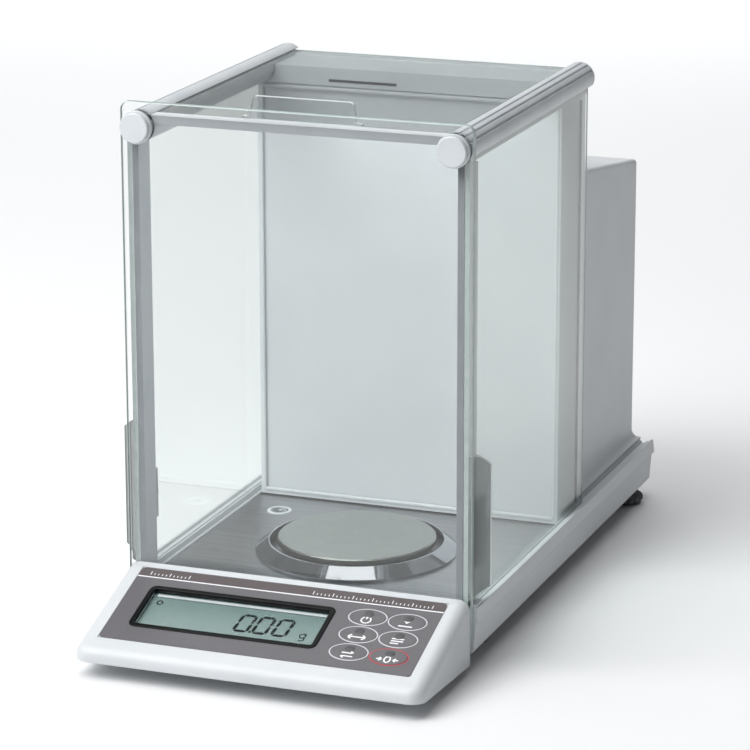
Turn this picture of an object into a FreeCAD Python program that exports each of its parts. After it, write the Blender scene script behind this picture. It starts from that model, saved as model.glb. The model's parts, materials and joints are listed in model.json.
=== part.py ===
import FreeCAD, Part
import os
import re
import Sketcher
from FreeCAD import Rotation, Vector

# Analytical balance with a glass draught shield.  +X right, -Y towards the user,
# +Z up, origin under the middle of the outline at table level, millimetres.

doc = FreeCAD.newDocument("AnalyticalBalance")
sheet = doc.addObject("Spreadsheet::Sheet", "Sizes")

sizes = {
    # overall
    "bodyDepth": 442, "consoleDepth": 82, "floorHigh": 32, "fitGap": 0.3, "runGap": 0.05,
    # lower case and base cover
    "caseBottom": 10.5, "caseHalfLow": 105.5, "caseHalfTop": 107, "caseWall": 2.5, "seamHigh": 29.6,
    "coverHalf": 108.2, "rimHalf": 107.3, "rimWide": 1.5, "rimRise": 5.8, "shelfRise": 4.4,
    "shelfHalf": 98.7, "ledgeHalf": 96.7, "ledgeRise": 1, "deckThick": 3, "plateThick": 1,
    "shelfOuter": 105.2, "trackDeep": 1.2, "trackGap": 0.25,
    # weighing chamber
    "glassHalf": 105.5, "glassThick": 4, "glassTop": 316, "glassBottom": 21, "glassCorner": 5,
    "chamberDeep": 181.3, "wallDeep": 46, "wallHalf": 96.4, "wallTop": 304, "wallSkin": 2.5,
    "wallBorder": 3.3, "wallRecess": 1, "slotHalf": 51, "slotTall": 3, "slotDrop": 39,
    "railX": 94.6, "railZ": 301.9, "railRadius": 9.3, "railEnd": 226, "capThick": 3, "fluteRadius": 0.9,
    "postInner": 95.6, "postOuter": 99.4, "postDeep": 15.5,
    "barTall": 5, "barDeep": 9.4, "barTop": 308.5, "backBarTall": 2.6, "backBarDeep": 11,
    # doors
    "doorInner": 99.7, "doorThick": 2.8, "doorEnd": 219, "doorTop": 301,
    "topDoorHalf": 90.2, "topDoorThick": 3, "topDoorLow": 305.3, "topDoorFront": 13.6, "topDoorEnd": 222,
    "gripRadius": 10, "gripThick": 2.2, "gripLow": 43, "gripHigh": 128, "gripSlant": 7.5,
    "pinRadius": 3, "padHalf": 15, "padDeep": 5, "padThick": 2.7, "padSetback": 16.2, "padZ": 79.5,
    "tabHalf": 30, "tabFoot": 36, "tabTall": 13, "tabThick": 3, "tabStep": 1.6,
    # knobs that clamp the front glass
    "knobRadius": 8.7, "knobFlange": 9.6, "knobReach": 6.1, "knobStep": 3.4, "knobStem": 4, "stemLong": 16,
    # console
    "consoleHalf": 105, "consoleTop": 43.7, "overlaySetback": 5.7, "overlayDrop": 1.1, "slope": 18.65,
    "overlayHalf": 94, "overlayLong": 67.2, "overlayThick": 0.6, "overlayCorner": 3, "consoleWall": 2.4,
    "consoleFrontLow": 9.7, "consoleRearLow": 5, "noseRadius": 7, "consoleInset": 5,
    "consoleCorner": 9, "lugInner": 50, "lugOuter": 90, "lugReach": 18, "bottomThick": 2,
    "bezelLeft": -81.8, "bezelRight": 33, "bezelTop": 15.8, "bezelLow": 54.4, "bezelBorder": 3.2,
    "bezelRise": 0.5, "bezelDeep": 3, "windowDeep": 1, "windowThick": 1.2,
    "lcdThick": 3.9, "boardDepth": 7, "boardThick": 1.6,
    # keys
    "keyColumn": 52.8, "keyPitchX": 23.8, "keyRow": 20.8, "keyPitchY": 16, "keyWide": 21.8, "keyTall": 13.6,
    "keyRise": 0.4, "keyFlange": 0.8, "keyLip": 0.9, "keyTravel": 0.5, "switchSize": 6,
    # pan and shield ring
    "panY": 97.6, "panRadius": 47.6, "panRise": 9.6, "panThick": 1.2, "panLip": 3.3,
    "ringFoot": 60.8, "ringTop": 52.7, "ringRise": 7.2, "ringThick": 0.9, "stemRadius": 4, "coneRadius": 9,
    "stemHole": 13, "armWide": 18, "armLow": 17, "armTall": 7,
    # spirit level
    "levelX": -72.3, "levelY": 152.4, "levelRadius": 7.7, "vialRadius": 5.6, "levelDeep": 8,
    # rear cover
    "rearHalf": 92.5, "rearTopFront": 243, "rearTopBack": 224.5, "rearSkin": 2.6, "flangeRise": 6.9,
    "flangeFillet": 5, "rearEdge": 2.5,
    # weighing cell
    "cellFront": 236, "cellHalf": 34, "blockDeep": 12, "blockTop": 128, "cellSetback": 52.4,
    "guideThick": 1.6,
    "guideHalf": 24, "cellGap": 0.8, "columnDeep": 20, "cellBaseTall": 7, "magnetRadius": 19,
    "magnetTall": 18, "coilRadius": 14, "magnetGap": 1, "magnetWall": 3, "leverTall": 8, "leverHalf": 5,
    "leverRise": 44, "guideRise": 8,
    # feet and underside
    "footX": 92, "footY": 339, "footDisc": 14.4, "footDiscThick": 3.5, "footStem": 3, "footTravel": 3,
    "footPad": 9, "footPadThick": 2, "frontFootX": 88, "frontFootY": 54, "frontFootRadius": 8,
    "bossRadius": 8, "bossTall": 9, "screwX": 74, "frontScrewY": 24, "screwInset": 15, "screwRadius": 1.75,
    "screwHead": 3.2, "screwHeadTall": 2, "hookRadius": 14, "hookHole": 11, "hookThick": 1.2,
    "discNotch": 1.6, "notchSetout": 0.9,
    # electronics
    "boardHalf": 62, "boardSetback": 14.4, "boardEdge": 6, "boardRise": 60, "standRadius": 2.5,
    "jackZ": 62, "jackX": -60, "jackRadius": 5.1, "jackMouth": 3.2, "jackPin": 1, "jackDeep": 10.4,
    "portX": 30, "portHalf": 15, "portTall": 5, "shellTop": 9, "shellLow": 7.6,
    "shellTall": 4, "shellSink": 0.4,
}
for row, (name, value) in enumerate(sizes.items(), 1):
    sheet.set("A%d" % row, name)
    sheet.set("B%d" % row, str(value))
    sheet.setAlias("B%d" % row, name)
doc.recompute()

# places worked out from the sizes
places = {
    "front": "consoleDepth - bodyDepth / 2",           # front face of the front glass
    "rear": "bodyDepth / 2",
    "baseFront": "front + glassThick",
    "wallFront": "front + chamberDeep",
    "wallBack": "wallFront + wallDeep",
    "deckTop": "floorHigh - plateThick",
    "deckLow": "deckTop - deckThick",
    "shelfTop": "floorHigh + shelfRise",
    "ledgeTop": "floorHigh + ledgeRise",
    "rimTop": "floorHigh + rimRise",
    "doorOuter": "doorInner + doorThick",
    "doorFront": "baseFront + fitGap",
    "doorBottom": "shelfTop - trackDeep + fitGap",
    "railBack": "front + railEnd",
    "panMid": "front + panY",
    "panTop": "floorHigh + panRise",
    "overlayY": "front - overlaySetback",
    "overlayZ": "consoleTop - overlayDrop",
    "boardTop": "-boardDepth",
    "cellY": "front + cellFront",
    "blockBack": "cellY + blockDeep",
    "columnY": "rear - cellSetback",
    "cellLow": "caseBottom + caseWall",
    "cellDeck": "cellLow + cellBaseTall",
    "footMidY": "front + footY",
    "footHole": "footStem + runGap",
    "magnetY": "columnY - magnetRadius - 4",
    "magnetLow": "cellDeck + guideRise + guideThick + 2",
    "leverZ": "cellDeck + leverRise",
    "boardY": "rear - rearSkin - boardSetback",
    "keyLow": "-overlayThick - consoleWall - fitGap - keyLip",
}

parts = []


def formula(text):
    """Turns a formula in the names above into one that the sheet's cells drive."""
    def swap(match):
        word = match.group(0)
        if word in places:
            return "(" + formula(places[word]) + ")"
        if word in sizes:
            return "Sizes." + word
        return word
    return re.sub(r"[A-Za-z]\w*", swap, str(text))


def number(text):
    """The present value of a formula."""
    return float(sheet.evalExpression(formula(text)))


def bind(item, **formulas):
    for name, text in formulas.items():
        item.setExpression(name.replace("__", "."), formula(text))


def keep(item, label):
    item.Label = label
    parts.append(item)
    return item


def newBody(label, x="0", y="0", z="0"):
    """An empty body whose frame stands at x, y, z."""
    item = keep(doc.addObject("PartDesign::Body", label), label)
    bind(item, Placement__Base__x=x, Placement__Base__y=y, Placement__Base__z=z)
    return item


def onSlope(label, x="0", down="0"):
    """An empty body in the frame of the sloping keypad: y up the slope, z out of it."""
    y = "overlayY - (%s) * cos(slope)" % down
    z = "overlayZ - (%s) * sin(slope)" % down
    item = newBody(label, x, y, z)
    item.Placement.Rotation = Rotation(Vector(1, 0, 0), number("slope"))
    bind(item, Placement__Rotation__Angle="slope")
    return item


def pin(sketch, geometry, point, x, y):
    """Ties one point of a sketch to its place."""
    for kind, text in (("DistanceX", x), ("DistanceY", y)):
        index = sketch.addConstraint(Sketcher.Constraint(kind, -1, 1, geometry, point, number(text)))
        sketch.setExpression("Constraints[%d]" % index, formula(text))


def drawLoop(sketch, corners):
    first = sketch.GeometryCount
    spots = [Vector(number(x), number(y), 0) for x, y in corners]
    for here, there in zip(spots, spots[1:] + spots[:1]):
        sketch.addGeometry(Part.LineSegment(here, there), False)
    count = len(corners)
    for i in range(count):
        sketch.addConstraint(Sketcher.Constraint("Coincident", first + i, 2, first + (i + 1) % count, 1))
    for i, (x, y) in enumerate(corners):
        pin(sketch, first + i, 1, x, y)


def drawCircle(sketch, x, y, radius):
    circle = Part.Circle(Vector(number(x), number(y), 0), Vector(0, 0, 1), number(radius))
    index = sketch.addGeometry(circle, False)
    pin(sketch, index, 3, x, y)
    limit = sketch.addConstraint(Sketcher.Constraint("Radius", index, number(radius)))
    sketch.setExpression("Constraints[%d]" % limit, formula(radius))


def drawOval(sketch, x, y, wide, tall):
    centre = Vector(number(x), number(y), 0)
    end = centre + Vector(number(wide) / 2, 0, 0)
    top = centre + Vector(0, number(tall) / 2, 0)
    index = sketch.addGeometry(Part.Ellipse(end, top, centre), False)
    sketch.exposeInternalGeometry(index)
    pin(sketch, index, 3, x, y)
    sketch.addConstraint(Sketcher.Constraint("Horizontal", index + 1))
    for axis, text in ((index + 1, wide), (index + 2, tall)):
        limit = sketch.addConstraint(Sketcher.Constraint("Distance", axis, number(text)))
        sketch.setExpression("Constraints[%d]" % limit, formula(text))


def newSketch(body, plane, offset, shapes, tilted=False):
    """A sketch on one of the body's planes; each shape is a loop of corners, a circle or an oval."""
    sketch = body.newObject("Sketcher::SketchObject", body.Name + "_sketch")
    origin = [item for item in body.Origin.OriginFeatures if item.Role == plane + "_Plane"]
    sketch.AttachmentSupport = [(origin[0], "")]
    sketch.MapMode = "FlatFace"
    if tilted:
        # offset is measured out of the sloping keypad plane
        sketch.AttachmentOffset.Rotation = Rotation(Vector(1, 0, 0), number("slope"))
        bind(sketch, AttachmentOffset__Rotation__Angle="slope",
             AttachmentOffset__Base__y="overlayY - (%s) * sin(slope)" % offset,
             AttachmentOffset__Base__z="overlayZ + (%s) * cos(slope)" % offset)
    else:
        bind(sketch, AttachmentOffset__Base__z=offset)
    for shape in shapes:
        if isinstance(shape, list):
            drawLoop(sketch, shape)
        elif len(shape) == 3:
            drawCircle(sketch, *shape)
        else:
            drawOval(sketch, *shape)
    return sketch


def volume(body):
    doc.recompute()
    return body.Shape.Volume if body.Tip else 0


def add(body, plane, low, high, *shapes):
    """Fills the shapes between two levels along the plane's axis."""
    before = volume(body)
    offset = "-(%s)" % high if plane == "XZ" else low
    pad = body.newObject("PartDesign::Pad", body.Name + "_pad")
    pad.Profile = newSketch(body, plane, offset, shapes)
    bind(pad, Length="(%s) - (%s)" % (high, low))
    if volume(body) <= before:
        raise RuntimeError(body.Label + ": a pad added nothing")


def cut(body, plane, low, high, *shapes, tilted=False):
    """Removes the shapes between two levels along the plane's axis."""
    before = volume(body)
    offset = "-(%s)" % low if plane == "XZ" else high
    pocket = body.newObject("PartDesign::Pocket", body.Name + "_pocket")
    pocket.Profile = newSketch(body, plane, offset, shapes, tilted)
    bind(pocket, Length="(%s) - (%s)" % (high, low))
    if volume(body) >= before:
        raise RuntimeError(body.Label + ": a pocket cut nothing")


def spin(body, plane, axis, *shapes):
    """Turns a half outline about the sketch's own H_Axis or V_Axis."""
    turn = body.newObject("PartDesign::Revolution", body.Name + "_turn")
    turn.Profile = newSketch(body, plane, "0", shapes)
    turn.ReferenceAxis = (turn.Profile[0], [axis])
    turn.Angle = 360
    doc.recompute()


def soften(body, radius, choose, kind="Fillet"):
    """Rounds or bevels the edges that choose picks."""
    doc.recompute()
    base = body.Tip
    names = ["Edge%d" % (i + 1) for i, edge in enumerate(base.Shape.Edges) if choose(edge)]
    if not names:
        raise RuntimeError(body.Label + ": no edge to soften")
    feature = body.newObject("PartDesign::" + kind, body.Name + "_" + kind.lower())
    feature.Base = (base, names)
    bind(feature, **{"Radius" if kind == "Fillet" else "Size": radius})
    doc.recompute()
    if "Invalid" in feature.State:
        raise RuntimeError(body.Label + ": an edge could not be softened")


def runs(edge, axis):
    """True when a straight edge lies along an axis, 0 to 2 for X, Y and Z."""
    box = edge.BoundBox
    long = (box.XLength, box.YLength, box.ZLength)
    return long[axis] > 0.99 * edge.Length and sum(long) - long[axis] < 0.01 * edge.Length + 1e-6


def box(x0, x1, y0, y1):
    """The corners of a rectangle."""
    return [(x0, y0), (x1, y0), (x1, y1), (x0, y1)]


def across(half, y0, y1):
    """The corners of a rectangle that is centred sideways."""
    return box("-(%s)" % half, half, y0, y1)


def symmetric(corners):
    """A half outline with x >= 0, from the middle out and back to it, and its mirror image."""
    return corners + [("-(%s)" % x, y) for x, y in reversed(corners)]


def sided(side, text):
    return text if side == "right" else "-(%s)" % text


def sideBox(side, x0, x1, y0, y1):
    """A rectangle on one side of the middle."""
    return box(x0, x1, y0, y1) if side == "right" else box("-(%s)" % x1, "-(%s)" % x0, y0, y1)


# ---------------------------------------------------------------- base

def buildLowerCase():
    body = newBody("lower_case")
    outer = symmetric([("caseHalfLow", "caseBottom"), ("caseHalfTop", "seamHigh")])
    inner = symmetric([("caseHalfLow - caseWall", "caseBottom + caseWall"),
                       ("caseHalfTop - caseWall", "seamHigh + 1")])
    add(body, "XZ", "baseFront", "rear", outer)
    soften(body, "2.4", lambda e: runs(e, 1) and e.CenterOfMass.z < number("caseBottom") + 1)
    soften(body, "2", lambda e: runs(e, 0) and e.CenterOfMass.z < number("caseBottom") + 1
           and e.CenterOfMass.y > 0)
    cut(body, "XZ", "baseFront + caseWall", "rear - caseWall", inner)
    add(body, "XY", "caseBottom", "glassBottom", across("glassHalf - 4", "front", "baseFront"))
    feet = [(sided(side, "footX"), "footMidY", "bossRadius") for side in ("left", "right")]
    posts = [(sided(side, x), y, "bossRadius / 2") for side in ("left", "right") for x, y in screwSpots]
    add(body, "XY", "caseBottom + 1", "cellLow + bossTall", *feet)
    add(body, "XY", "caseBottom + 1", "deckLow", *posts)
    cut(body, "XY", "caseBottom", "cellLow + bossTall",
        *[(sided(side, "footX"), "footMidY", "footHole") for side in ("left", "right")])
    cut(body, "XY", "caseBottom", "deckLow",
        *[(sided(side, x), y, "screwRadius + runGap") for side in ("left", "right") for x, y in screwSpots])
    cut(body, "XY", "caseBottom", "cellLow", ("0", "panMid", "hookHole"))
    cut(body, "XY", "caseBottom", "caseBottom + hookThick", ("0", "panMid", "hookRadius + runGap"))


screwSpots = [("screwX", "front + frontScrewY"), ("screwX", "wallBack - screwInset"),
              ("screwX", "rear - screwInset")]


def buildBaseCover():
    body = newBody("base_cover")
    inside = "caseHalfTop - caseWall - fitGap"
    section = symmetric([(inside, "deckLow"), (inside, "seamHigh"), ("coverHalf", "seamHigh"),
                         ("rimHalf", "rimTop"), ("rimHalf - rimWide", "rimTop"), ("shelfOuter", "shelfTop"),
                         ("shelfHalf", "shelfTop"), ("shelfHalf", "ledgeTop"), ("ledgeHalf", "ledgeTop"),
                         ("ledgeHalf", "deckTop")])
    add(body, "XZ", "baseFront", "rear", section)
    track = ("doorInner - trackGap", "doorOuter + trackGap", "shelfTop - trackDeep", "shelfTop + 1")
    tracks = [sideBox(side, *track) for side in ("left", "right")]
    cut(body, "XZ", "baseFront", "rear", *tracks)
    # the deck stops inside the lower case's end walls
    cut(body, "XY", "deckLow", "seamHigh", across("coverHalf", "baseFront", "baseFront + caseWall + fitGap"),
        across("coverHalf", "rear - caseWall - fitGap", "rear"))
    cut(body, "XY", "deckLow", "deckTop", ("0", "panMid", "stemHole"),
        ("levelX", "front + levelY", "levelRadius - 1"),
        across("boardHalf + 4", "wallFront + 8", "rear - 24"))
    cut(body, "XY", "deckLow", "deckLow + 2.4",
        *[(sided(side, x), y, "screwRadius + runGap") for side in ("left", "right") for x, y in screwSpots])


def buildFloorPlate():
    body = newBody("floor_plate")
    add(body, "XY", "deckTop", "floorHigh",
        across("ledgeHalf - fitGap", "baseFront + fitGap", "wallFront - fitGap"))
    cut(body, "XY", "deckTop", "floorHigh", ("0", "panMid", "stemHole"),
        ("levelX", "front + levelY", "levelRadius - 1"))


def buildRearCover():
    body = newBody("rear_cover")
    rise = "(rearTopFront - rearTopBack) / (rear - wallBack)"
    side = [("wallBack", "deckTop"), ("rear", "deckTop"), ("rear", "rearTopBack"),
            ("wallBack", "rearTopFront")]
    hollow = [("wallBack - 1", "deckTop - 1"), ("rear - rearSkin", "deckTop - 1"),
              ("rear - rearSkin", "rearTopBack - rearSkin + rearSkin * (%s)" % rise),
              ("wallBack - 1", "rearTopFront - rearSkin + (%s)" % rise)]
    add(body, "YZ", "-rearHalf", "rearHalf", side)
    soften(body, "rearEdge", lambda e: e.CenterOfMass.y > number("wallBack") + 1
           and e.CenterOfMass.z > number("rearTopBack") - 2)
    add(body, "XY", "ledgeTop", "floorHigh + flangeRise",
        across("shelfHalf - runGap", "wallBack", "rear"))
    soften(body, "flangeFillet", lambda e: runs(e, 1)
           and abs(e.CenterOfMass.z - number("floorHigh + flangeRise")) < 0.1
           and abs(abs(e.CenterOfMass.x) - number("rearHalf")) < 0.1)
    cut(body, "YZ", "-(rearHalf - rearSkin)", "rearHalf - rearSkin", hollow)
    cut(body, "XZ", "rear - rearSkin", "rear", ("jackX", "jackZ", "jackRadius + 2 * runGap"),
        box("portX - portHalf - 1", "portX + portHalf + 1", "jackZ - portTall - 1", "jackZ + portTall + 1"))


def buildRearWall():
    body = newBody("rear_wall")
    add(body, "XY", "deckTop", "wallTop", across("wallHalf", "wallFront", "wallBack"))
    soften(body, "1", lambda e: runs(e, 2) and e.CenterOfMass.y < number("wallFront") + 1)
    cut(body, "XY", "deckTop", "wallTop - wallSkin",
        across("wallHalf - wallSkin", "wallFront + wallSkin", "wallBack - wallSkin"))
    cut(body, "XZ", "wallFront", "wallFront + wallRecess",
        across("wallHalf - wallBorder", "floorHigh + wallBorder", "wallTop - wallBorder - 8"))
    cut(body, "XZ", "wallFront", "wallFront + wallSkin + 1",
        across("slotHalf", "wallTop - slotDrop", "wallTop - slotDrop + slotTall"))
    cut(body, "XZ", "wallBack - wallSkin", "wallBack",
        across("boardHalf + 10", "deckTop", "rearTopBack - 20"))
    cut(body, "XZ", "wallFront", "wallBack",
        *[(sided(side, "railX"), "railZ", "railRadius + fitGap") for side in ("left", "right")])
    cut(body, "XY", "wallTop - wallSkin", "wallTop", across("wallHalf", "railBack - backBarDeep", "wallBack"))


# ---------------------------------------------------------------- console

def buildConsole():
    body = newBody("console_housing")
    noseZ = "overlayZ - (rear + overlayY) * tan(slope)"
    side = [("front", "consoleRearLow"), ("front", "consoleTop"), ("overlayY", "overlayZ"),
            ("-rear", noseZ), ("-rear", "consoleFrontLow")]
    add(body, "YZ", "-consoleHalf", "consoleHalf", side)
    soften(body, "consoleCorner", lambda e: runs(e, 2) and e.CenterOfMass.y < number("-rear + 1"))
    soften(body, "noseRadius", lambda e: e.CenterOfMass.y < number("front - 1") and not runs(e, 2)
           and e.CenterOfMass.z > number(noseZ) - 1
           and (abs(e.CenterOfMass.x) > number("consoleHalf - consoleCorner")
                or e.CenterOfMass.y < number("-rear + 1")))
    skin = "consoleWall"
    slopeSkin = "consoleWall / cos(slope)"
    inFront = "-rear + consoleInset"
    inSlope = "overlayZ - (rear + overlayY - consoleInset) * tan(slope) - overlayThick"
    hollow = [("front - 2", "consoleRearLow - 5"), ("front - 2", "consoleTop - %s - 0.8" % skin),
              ("overlayY", "overlayZ - overlayThick - %s" % slopeSkin),
              (inFront, "%s - %s" % (inSlope, slopeSkin)), (inFront, "consoleRearLow - 5")]
    cut(body, "YZ", "-(consoleHalf - consoleWall - 1)", "consoleHalf - consoleWall - 1", hollow)
    cut(body, "XY", "-overlayThick", "0",
        across("overlayHalf + trackGap", "-overlayLong - trackGap", "trackGap"), tilted=True)
    cut(body, "XY", "-6", "0", bezelHole, tilted=True)
    cut(body, "XY", "-6", "0",
        *[(x, "-(%s)" % down, "keyWide + 2 * fitGap", "keyTall + 2 * fitGap") for name, x, down in keySpots],
        tilted=True)
    cut(body, "XZ", "front - 2.5", "front",
        *[sideBox(side, "lugInner - runGap", "lugOuter + runGap", "consoleRearLow - 1", "caseBottom + runGap")
          for side in ("left", "right")])


def buildConsoleBottom():
    """The console's lower cover, with two lugs that reach under the lower case."""
    body = newBody("console_bottom")
    rearRise = "consoleRearLow + 2 * (consoleFrontLow - consoleRearLow) / (consoleDepth - 4)"
    rearY = "front - 2 - runGap"
    frontY = "-rear + consoleInset + runGap"
    side = [(frontY, "consoleFrontLow"), (frontY, "consoleFrontLow + bottomThick"),
            (rearY, rearRise + " + bottomThick"), (rearY, rearRise)]
    edge = "consoleHalf - consoleWall - 1 - runGap"
    add(body, "YZ", "-(%s)" % edge, edge, side)
    lugs = [sideBox(side, "lugInner", "lugOuter", rearY + " - 6", "front + lugReach")
            for side in ("left", "right")]
    add(body, "XY", "consoleRearLow + 1", "caseBottom", *lugs)


bezelHole = box("bezelLeft - runGap", "bezelRight + runGap", "-bezelLow - runGap", "-bezelTop + runGap")
keyNames = [["on_off_key", "calibrate_key"], ["range_key", "print_key"], ["mode_key", "rezero_key"]]
keySpots = [(name, "keyColumn + %d * keyPitchX" % column, "keyRow + %d * keyPitchY" % row)
            for row, names in enumerate(keyNames) for column, name in enumerate(names)]


def buildOverlay():
    body = onSlope("keypad_overlay")
    add(body, "XY", "-overlayThick", "0", across("overlayHalf", "-overlayLong", "0"))
    soften(body, "overlayCorner", lambda e: runs(e, 2) or e.Length < number("overlayThick") * 1.01)
    holes = [(x, "-(%s)" % down, "keyWide + 2 * trackGap", "keyTall + 2 * trackGap")
             for name, x, down in keySpots]
    cut(body, "XY", "-overlayThick", "0", *holes)
    cut(body, "XY", "-overlayThick", "0", bezelHole)


def buildDisplay():
    low, high = "-bezelDeep", "bezelRise"
    bezel = onSlope("display_bezel")
    add(bezel, "XY", low, high, box("bezelLeft", "bezelRight", "-bezelLow", "-bezelTop"))
    soften(bezel, "bezelRise", lambda e: abs(e.CenterOfMass.dot(Vector(0, 0, 1)) - number(high)) < 0.01
           and e.Length > 10)
    inner = box("bezelLeft + bezelBorder", "bezelRight - bezelBorder", "-bezelLow + bezelBorder",
                "-bezelTop - bezelBorder")
    cut(bezel, "XY", low, high, inner)
    for label, top, thick in (("display_window", "-windowDeep", "windowThick"),
                              ("lcd_panel", "-bezelDeep", "lcdThick")):
        pane = onSlope(label)
        edge = "bezelBorder + runGap" if label == "display_window" else "bezelBorder - 1"
        add(pane, "XY", "(%s) - %s" % (top, thick), top,
            box("bezelLeft + " + edge, "bezelRight - " + "(%s)" % edge, "-bezelLow + " + edge,
                "-bezelTop - " + "(%s)" % edge))
    board = onSlope("display_board")
    add(board, "XY", "boardTop - boardThick", "boardTop", across("overlayHalf - 6", "-overlayLong + 6", "-6"))
    switches = onSlope("key_switches")
    add(switches, "XY", "boardTop", "keyLow - fitGap - keyTravel",
        *[box("%s - switchSize / 2" % x, "%s + switchSize / 2" % x, "-(%s) - switchSize / 2" % down,
              "-(%s) + switchSize / 2" % down) for name, x, down in keySpots])


def buildKeys():
    for name, x, down in keySpots:
        key = onSlope(name, x, down)
        add(key, "XY", "keyLow", "keyRise", ("0", "0", "keyWide", "keyTall"))
        soften(key, "keyRise", lambda e: e.CenterOfMass.z > number("keyRise") - 0.01)
        add(key, "XY", "keyLow", "keyLow + keyLip",
            ("0", "0", "keyWide + 2 * keyFlange", "keyTall + 2 * keyFlange"))


# ---------------------------------------------------------------- weighing chamber

def buildFrontGlass():
    body = newBody("front_glass")
    add(body, "XZ", "front", "baseFront", across("glassHalf", "glassBottom", "glassTop"))
    soften(body, "glassCorner", lambda e: runs(e, 1) and e.CenterOfMass.z > number("glassTop") - 1)
    cut(body, "XZ", "front", "baseFront",
        *[(sided(side, "railX"), "railZ", "knobStem + runGap") for side in ("left", "right")])
    soften(body, "0.4", lambda e: abs(e.CenterOfMass.z - number("glassTop")) < 6 and not runs(e, 1)
           or runs(e, 2), "Chamfer")


def buildPost(side):
    body = newBody(side + "_post")
    deep = ("baseFront", "baseFront + postDeep")
    top = "railZ - railRadius - 0.1"
    add(body, "XY", "shelfTop + runGap", top, sideBox(side, "postInner", "postOuter", *deep))
    add(body, "XY", "ledgeTop", "shelfTop + 1", sideBox(side, "postInner + 1.2", "shelfHalf - runGap", *deep))


def buildBars():
    bar = newBody("front_top_bar")
    add(bar, "XZ", "baseFront", "baseFront + barDeep", across("railX - 4", "barTop - barTall", "barTop"))
    cut(bar, "XZ", "baseFront", "baseFront + barDeep",
        *[(sided(side, "railX"), "railZ", "railRadius + runGap") for side in ("left", "right")])
    back = newBody("rear_top_bar")
    add(back, "XZ", "railBack - backBarDeep", "railBack",
        across("railX - 4", "wallTop - wallSkin", "wallTop - wallSkin + backBarTall + 0.8"))
    cut(back, "XZ", "railBack - backBarDeep", "railBack",
        *[(sided(side, "railX"), "railZ", "railRadius + fitGap + runGap") for side in ("left", "right")])


fluteTurns = (12, 36, 60)    # degrees from the rail's top, outwards


def railSection(side):
    """The slots of the top door and the side door in the round rail."""
    return [sideBox(side, "railX - railRadius - 1", "topDoorHalf + trackGap", "topDoorLow - trackGap",
                    "topDoorLow + topDoorThick + trackGap"),
            sideBox(side, "doorInner - trackGap", "doorOuter + trackGap", "railZ - railRadius - 1",
                    "doorTop + fitGap")]


def buildRail(side):
    rail = newBody(side + "_top_rail")
    ends = ("baseFront", "railBack")
    centre = (sided(side, "railX"), "railZ")
    add(rail, "XZ", *ends, centre + ("railRadius",))
    flutes = [(sided(side, "railX + railRadius * sin(%d)" % turn), "railZ + railRadius * cos(%d)" % turn,
               "fluteRadius") for turn in fluteTurns]
    cut(rail, "XZ", *ends, *flutes)
    cut(rail, "XZ", *ends, *railSection(side))
    cut(rail, "XZ", "baseFront", "front + stemLong + 1", centre + ("knobStem + runGap",))
    cap = newBody(side + "_rail_cap")
    add(cap, "XZ", "railBack", "railBack + capThick", centre + ("railRadius",))
    soften(cap, "1.2", lambda e: e.CenterOfMass.y > number("railBack + capThick") - 0.01, "Chamfer")
    cut(cap, "XZ", "railBack", "railBack + capThick", *railSection(side))


def buildKnob(side):
    body = newBody(side + "_knob", sided(side, "railX"), "front", "railZ")
    reach, step = "-knobReach", "-knobStep"
    spin(body, "YZ", "H_Axis",
         [(reach, "0"), (reach, "knobRadius - 0.6"), (reach + " + 0.6", "knobRadius"), (step, "knobRadius"),
          (step, "knobFlange - 0.4"), (step + " + 0.4", "knobFlange"), ("-fitGap - 1", "knobFlange"),
          ("-fitGap - 1", "knobRadius"), ("-fitGap", "knobRadius"), ("-fitGap", "knobStem"),
          ("stemLong", "knobStem"), ("stemLong", "0")])


def buildDoors():
    for side in ("left", "right"):
        door = newBody(side + "_door")
        add(door, "YZ", sided(side, "doorInner") if side == "right" else "-(doorOuter)",
            sided(side, "doorOuter") if side == "right" else "-(doorInner)",
            box("doorFront", "front + doorEnd", "doorBottom", "doorTop"))
        cut(door, "YZ", "doorInner" if side == "right" else "-(doorOuter)",
            "doorOuter" if side == "right" else "-(doorInner)",
            ("doorFront + padSetback + padDeep / 2", "padZ", "pinRadius"))
    top = newBody("top_door")
    add(top, "XY", "topDoorLow", "topDoorLow + topDoorThick",
        across("topDoorHalf", "front + topDoorFront", "front + topDoorEnd"))


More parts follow.
